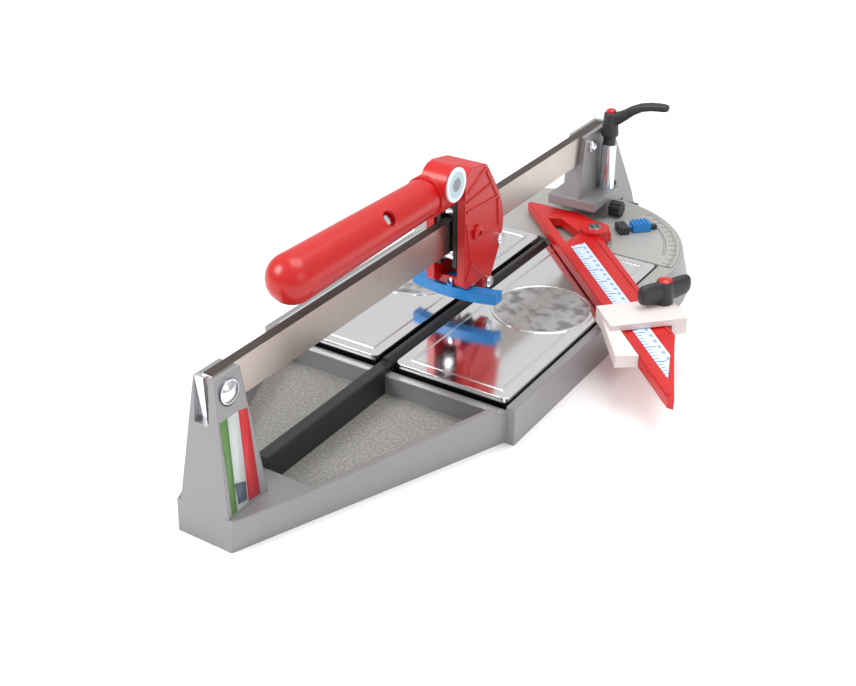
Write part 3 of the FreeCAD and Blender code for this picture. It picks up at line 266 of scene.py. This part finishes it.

# %% [markdown]
# The platens: bright skin, a frosted field with soft marks inside the ring, and painted shade on the edges
# below the skin.

# %% Platen look
platen_look = own_look("platen_look", "platen_aluminium", "left_platen", "right_platen")
tree = platen_look.node_tree
x, y, z = place(tree)
RING_AT, FIELD_RADIUS, SKIN_ABOVE = 0.068, 0.044, 0.0343
ring_x = calc(tree, "SUBTRACT", calc(tree, "ABSOLUTE", x), RING_AT)
ring_y = calc(tree, "SUBTRACT", y, RING_AT)
reach = distance(tree, ring_x, ring_y)
inside = calc(tree, "MULTIPLY", calc(tree, "LESS_THAN", reach, FIELD_RADIUS), facing_up(tree))
over(platen_look, inside, colour=linear(214, 214, 215), rough=0.26)
motif = calc(tree, "MULTIPLY", inside, speckle(tree, 95, 0.44, 0.64))
over(platen_look, motif, colour=linear(150, 149, 147), rough=0.4)
# Faces below the top skin are painted darker: painted shade on the platens' edges.
shaded_below_skin = calc(tree, "LESS_THAN", z, SKIN_ABOVE)
over(platen_look, shaded_below_skin, colour=linear(120, 120, 121), rough=0.25)
print("platen look: field and edges")

# %% [markdown]
# The scale on the fence: a pale strip with a tick every five millimetres, a longer one every
# twenty-five, and a dash every ten on the far side.  Lengths run along the fence.

# %% Fence scale look
scale_look = own_look("fence_scale_look", "white_plate", "fence_scale")
tree = scale_look.node_tree
x, y, z = place(tree)
ahead = calc(tree, "SUBTRACT", y, SWING_Y)
along = calc(tree, "MULTIPLY", calc(tree, "SUBTRACT", x, ahead), HALF_TURN)
aside = calc(tree, "MULTIPLY", calc(tree, "ADD", x, ahead), HALF_TURN)
over(scale_look, between(tree, aside, 0.0, 1.0), colour=linear(206, 222, 240))
for pitch, share, reach in ((0.005, 0.22, 0.0155), (0.025, 0.06, 0.0205)):
    tick = calc(tree, "MULTIPLY", stripes(tree, along, pitch, share), calc(tree, "LESS_THAN", aside, reach))
    over(scale_look, tick, colour=linear(84, 112, 168))
dash = calc(tree, "MULTIPLY", stripes(tree, along, 0.01, 0.45), between(tree, aside, 0.0215, 0.0245))
over(scale_look, dash, colour=linear(140, 164, 206))
print("scale look: ticks")

# %% [markdown]
# The dial on the deck: ticks every degree, longer every five, along its outer edge.

# %% Angle dial look
dial_look = own_look("angle_dial_look", "grey_casting", "angle_dial")
tree = dial_look.node_tree
x, y, z = place(tree)
ahead = calc(tree, "SUBTRACT", y, SWING_Y)
angle = calc(tree, "DEGREES", calc(tree, "ARCTAN2", ahead, x))
reach = distance(tree, x, ahead)
over(dial_look, facing_up(tree), colour=linear(170, 170, 167), rough=0.45, metal=0.2)
TICK_OUTER = 0.1315
for degrees, share, inner, grey in ((1.0, 0.3, 0.128, 70), (5.0, 0.1, 0.1235, 60)):
    band = between(tree, reach, inner, TICK_OUTER)
    tick = calc(tree, "MULTIPLY", stripes(tree, angle, degrees, share), band)
    over(dial_look, tick, colour=linear(grey, grey, grey + 2))
print("dial look: ticks")

# %% [markdown]
# The badge: a plain pale plate with a soft coloured field and a grey middle, without any mark.

# %% Badge look
badge_look = own_look("badge_look", "white_plate", "badge_plate")
badge_low, badge_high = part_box("badge_plate")
badge_middle = (badge_low + badge_high) / 2
badge_radius = (badge_high.z - badge_low.z) / 2
tree = badge_look.node_tree
x, y, z = place(tree)
off_y = calc(tree, "SUBTRACT", y, badge_middle.y)
off_z = calc(tree, "SUBTRACT", z, badge_middle.z)
reach = distance(tree, off_y, off_z)
for share, colour in ((0.76, linear(182, 208, 214)), (0.4, linear(132, 140, 146))):
    over(badge_look, calc(tree, "LESS_THAN", reach, badge_radius * share), colour=colour)
print("badge look: plain rings, radius", round(badge_radius, 4))

# %% [markdown]
# The screws of the head's pivot are painted with the casting.

# %% Pivot look
pivot_look = own_look("pivot_look", "red_paint", "head_pivot_bolts")
print("pivot look:", pivot_look.name)

# %% [markdown]
# The yoke between the cheeks is blackened.

# %% Yoke look
yoke_look = own_look("yoke_look", "black_bar", "carriage_yoke")
tree = yoke_look.node_tree
shader = tree.nodes["Principled BSDF"]
for key, value in (("Base Color", linear(24, 24, 25)), ("Roughness", 0.5)):
    tree.links.remove(shader.inputs[key].links[0])
    shader.inputs[key].default_value = value
print("yoke look:", yoke_look.name)

# %% [markdown]
# ## New pieces
#
# Shapes that are smoother than the frame's plain solids.  The lever and the knob each stand for a
# node and move with its body.  The label is an addition on the base.

# %% Mesh helpers
def piece(name, mesh, look, body, *stands_for):
    """A new object at the origin that rides on a body."""
    data = bpy.data.meshes.new(name)
    bmesh.ops.recalc_face_normals(mesh, faces=mesh.faces)
    for face in mesh.faces:
        face.smooth = True
    mesh.to_mesh(data)
    mesh.free()
    made = bpy.data.objects.new(name, data)
    bpy.context.scene.collection.objects.link(made)
    data.materials.append(look)
    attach(made, body)
    if stands_for:
        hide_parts(*stands_for)
    return made


def tube(mesh, rings):
    """Skin a closed run of rings of points, with flat ends."""
    loops = [[mesh.verts.new(point) for point in ring] for ring in rings]
    count = len(loops[0])
    for first, second in zip(loops, loops[1:]):
        for i in range(count):
            mesh.faces.new((first[i], first[(i + 1) % count], second[(i + 1) % count], second[i]))
    mesh.faces.new(loops[0])
    mesh.faces.new(list(reversed(loops[-1])))


def oval(centre, across, up, wide, tall, count=28, power=2.0):
    """A ring of points: an ellipse, or a squarer one for a higher power."""
    points = []
    for i in range(count):
        turn = 2 * math.pi * i / count
        c, s = math.cos(turn), math.sin(turn)
        px = math.copysign(abs(c) ** (2 / power), c) * wide
        py = math.copysign(abs(s) ** (2 / power), s) * tall
        points.append(centre + across * px + up * py)
    return points


X, Y, Z = Vector((1, 0, 0)), Vector((0, 1, 0)), Vector((0, 0, 1))
HUB_POINTS = 40

# %% [markdown]
# The ratchet lever: a hub with a waist, and an arm that rises, levels out and ends in a rounded tip.

# %% Clamp lever
low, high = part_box("clamp_lever")
post_low, post_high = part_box("clamp_post")
axle = (post_low + post_high) / 2
hub_radius = (high.y - low.y) / 2
HUB_TALL = 0.0257
mesh = bmesh.new()
# Share of the height, share of the radius
profile = [(0.0, 0.86), (0.04, 0.97), (0.12, 1.0), (0.4, 0.93), (0.7, 0.86), (0.9, 0.82),
           (0.97, 0.78), (1.0, 0.7)]
hub_rings = []
for share, wide in profile:
    centre = Vector((axle.x, axle.y, low.z + HUB_TALL * share))
    hub_rings.append(oval(centre, X, Y, hub_radius * wide, hub_radius * wide, HUB_POINTS))
tube(mesh, hub_rings)
# Reach and rise in metres, half height and half width in millimetres
path = [(0.002, 0.0185, 7.2, 4.6), (0.008, 0.0212, 6.6, 4.6), (0.016, 0.0262, 5.4, 4.9),
        (0.024, 0.0322, 4.8, 5.1), (0.033, 0.0368, 4.4, 5.2), (0.043, 0.0394, 4.1, 5.3),
        (0.052, 0.0404, 4.0, 5.3), (0.058, 0.0406, 3.8, 5.0), (0.0608, 0.0406, 3.0, 4.0),
        (0.0618, 0.0406, 1.4, 2.0)]
ARM_LIFT = 0.008
rings = []
for i, (out, rise, tall, wide) in enumerate(path):
    before, after = path[max(0, i - 1)], path[min(len(path) - 1, i + 1)]
    ahead = Vector((after[0] - before[0], 0, after[1] - before[1])).normalized()
    centre = Vector((axle.x + out, axle.y, post_high.z + ARM_LIFT + rise))
    rings.append(oval(centre, Y, ahead.cross(Y), wide / 1000, tall / 1000, 28, 2.6))
tube(mesh, rings)
lever = piece("clamp_lever_shape", mesh, looks["black_plastic"], "lever", "clamp_lever")
print("clamp lever:", len(lever.data.polygons), "faces")

# %% [markdown]
# The wing knob: a round hub with two plump ears that thin towards their edges.

# %% Wing knob
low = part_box("wing_knob")[0]
stud_low, stud_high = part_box("stop_stud")
axle = (stud_low + stud_high) / 2
WING_TURN, FENCE_TURN = 107, 45
lean = math.radians(WING_TURN - FENCE_TURN)
ear = Vector((math.cos(lean), math.sin(lean), 0))
side = Vector((-math.sin(lean), math.cos(lean), 0))
mesh = bmesh.new()
# Share of the height, radius in millimetres
profile = [(0.0, 8.4), (0.05, 9.0), (0.3, 8.8), (0.7, 8.0), (0.92, 7.6), (0.98, 7.3), (1.0, 6.7)]
hub_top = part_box("knob_cap")[0].z + 0.002
hub_rings = []
for share, radius in profile:
    centre = Vector((axle.x, axle.y, low.z + (hub_top - low.z) * share))
    hub_rings.append(oval(centre, X, Y, radius / 1000, radius / 1000, HUB_POINTS))
tube(mesh, hub_rings)
EAR_STEPS = 12
for way in (1, -1):
    rings = []
    for step in range(EAR_STEPS + 1):
        part = step / EAR_STEPS
        out = (0.004 + 0.0232 * math.sin(part * math.pi / 2)) * way
        swell = math.sqrt(max(0.0, 1 - part ** 3.2))
        centre = Vector((axle.x, axle.y, low.z + 0.0105 + 0.0022 * part)) + ear * out
        rings.append(oval(centre, side, Z, 0.0014 + 0.0042 * swell, 0.002 + 0.0083 * swell, 28, 2.3))
    tube(mesh, rings)
knob = piece("wing_knob_shape", mesh, looks["black_plastic"], "stop_knob", "wing_knob")
print("wing knob:", len(knob.data.polygons), "faces")

# %% [markdown]
# A plain label on the right face of the front column: pale between a green and a red band, no words.

# %% Column label
low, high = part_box("front_column")
SUNK = 0.0004
half_top, half_low = 0.0095, high.x
lean_in = (half_low - half_top) / (high.z - low.z)


def on_face(y, z, proud):
    """A point just off the column's right face."""
    return Vector((half_top + (high.z - z) * lean_in + proud, y, z))


def label_field(name, corners, look, proud):
    """A thin sheet on the column's right face."""
    mesh = bmesh.new()
    inner = [mesh.verts.new(on_face(y, z, -SUNK)) for y, z in corners]
    outer = [mesh.verts.new(on_face(y, z, proud)) for y, z in corners]
    mesh.faces.new(inner)
    mesh.faces.new(list(reversed(outer)))
    for i in range(len(corners)):
        j = (i + 1) % len(corners)
        mesh.faces.new((inner[i], inner[j], outer[j], outer[i]))
    return piece(name, mesh, look, "base")


# Name, finish, colour, how proud it stands in metres, corners as y and z
FIELDS = (
    ("pale", "white", (196, 202, 200), 0.0002,
     [(-0.2967, 0.1), (-0.285, 0.1), (-0.2925, 0.0295), (-0.305, 0.0285)]),
    ("green", "green", (92, 132, 70), 0.0002,
     [(-0.3046, 0.1), (-0.2967, 0.1), (-0.305, 0.0285), (-0.311, 0.0285)]),
    ("red", "red", (196, 40, 48), 0.0002,
     [(-0.285, 0.1), (-0.2756, 0.098), (-0.2794, 0.0285), (-0.2925, 0.0295)]),
    ("patch", "dark", (74, 84, 100), 0.0004,
     [(-0.3025, 0.05), (-0.2915, 0.046), (-0.2935, 0.032), (-0.303, 0.033)]),
)
for name, kind, colour, proud, corners in FIELDS:
    look = finish("label_" + kind, linear(*colour), 0.3, 0.0, 0.06, 200, 0.02, edge=0.0002)
    label_field("label_" + name, corners, look, proud)
print("label: four plain fields")

# %% [markdown]
# ## Stage
#
# A pale floor, soft lights, and the camera.

# %% Floor, lights and world
bpy.ops.mesh.primitive_plane_add(size=12)
floor = bpy.context.object
floor.name = "floor"
floor.data.materials.append(finish("floor_paper", linear(250, 250, 250), 0.9, 0.0, 0.0, 40, 0.0))


def soft_light(name, place, target, wide, power):
    """A square area light aimed at a point."""
    data = bpy.data.lights.new(name, "AREA")
    data.size = wide
    data.energy = power
    light = bpy.data.objects.new(name, data)
    light.location = place
    light.rotation_euler = (Vector(target) - Vector(place)).to_track_quat("-Z", "Y").to_euler()
    bpy.context.scene.collection.objects.link(light)


soft_light("key", (-1.3, -1.5, 1.7), (0, 0, 0.05), 1.0, 36)
soft_light("top", (0.3, 0.4, 2.0), (0, 0, 0.05), 1.4, 24)
soft_light("fill", (1.8, -0.4, 0.9), (0, 0, 0.05), 1.0, 5)

world = bpy.data.worlds.new("studio")
bpy.context.scene.world = world
world.use_nodes = True
tree = world.node_tree
tree.nodes.clear()
output = node(tree, "ShaderNodeOutputWorld", (600, 0))
rays = node(tree, "ShaderNodeLightPath", (-200, 300))
seen = node(tree, "ShaderNodeBackground", (200, -100), Color=(1, 1, 1, 1), Strength=1.0)
lit = node(tree, "ShaderNodeBackground", (200, 100), Strength=0.8)
pick = node(tree, "ShaderNodeMixShader", (400, 0))
where = node(tree, "ShaderNodeTexCoord", (-600, 100))
split = node(tree, "ShaderNodeSeparateXYZ", (-400, 100))
ramp = node(tree, "ShaderNodeValToRGB", (-200, 0))
ramp.color_ramp.elements[0].position = 0.35
ramp.color_ramp.elements[0].color = (0.42, 0.42, 0.43, 1)
ramp.color_ramp.elements[1].position = 0.8
ramp.color_ramp.elements[1].color = (1, 1, 1, 1)
lift = node(tree, "ShaderNodeMapRange", (-300, -200), From_Min=-1.0)
tree.links.new(where.outputs["Generated"], split.inputs["Vector"])
tree.links.new(split.outputs["Z"], lift.inputs["Value"])
tree.links.new(lift.outputs["Result"], ramp.inputs["Fac"])
tree.links.new(ramp.outputs["Color"], lit.inputs["Color"])
tree.links.new(rays.outputs["Is Camera Ray"], pick.inputs["Fac"])
tree.links.new(lit.outputs["Background"], pick.inputs[1])
tree.links.new(seen.outputs["Background"], pick.inputs[2])
tree.links.new(pick.outputs["Shader"], output.inputs["Surface"])
bpy.context.scene.view_settings.view_transform = "Standard"
print("stage: floor, three lights, world")

# %% [markdown]
# The camera stands to the front right, above the work.

# %% Camera
right = Vector((0.838994, 0.544125, -0.004206))
up = Vector((-0.265992, 0.416855, 0.869183))
back = Vector((0.474698, -0.728121, 0.494472))
lens = bpy.data.cameras.new("camera")
lens.lens = 52.62
lens.sensor_width = 36
lens.clip_start = 0.05
camera = bpy.data.objects.new("camera", lens)
bpy.context.scene.collection.objects.link(camera)
turn = Matrix((right, up, back)).transposed().to_4x4()
camera.matrix_world = Matrix.Translation((0.532114, -0.834724, 0.577485)) @ turn
bpy.context.scene.camera = camera
print("camera:", lens.lens, "mm")
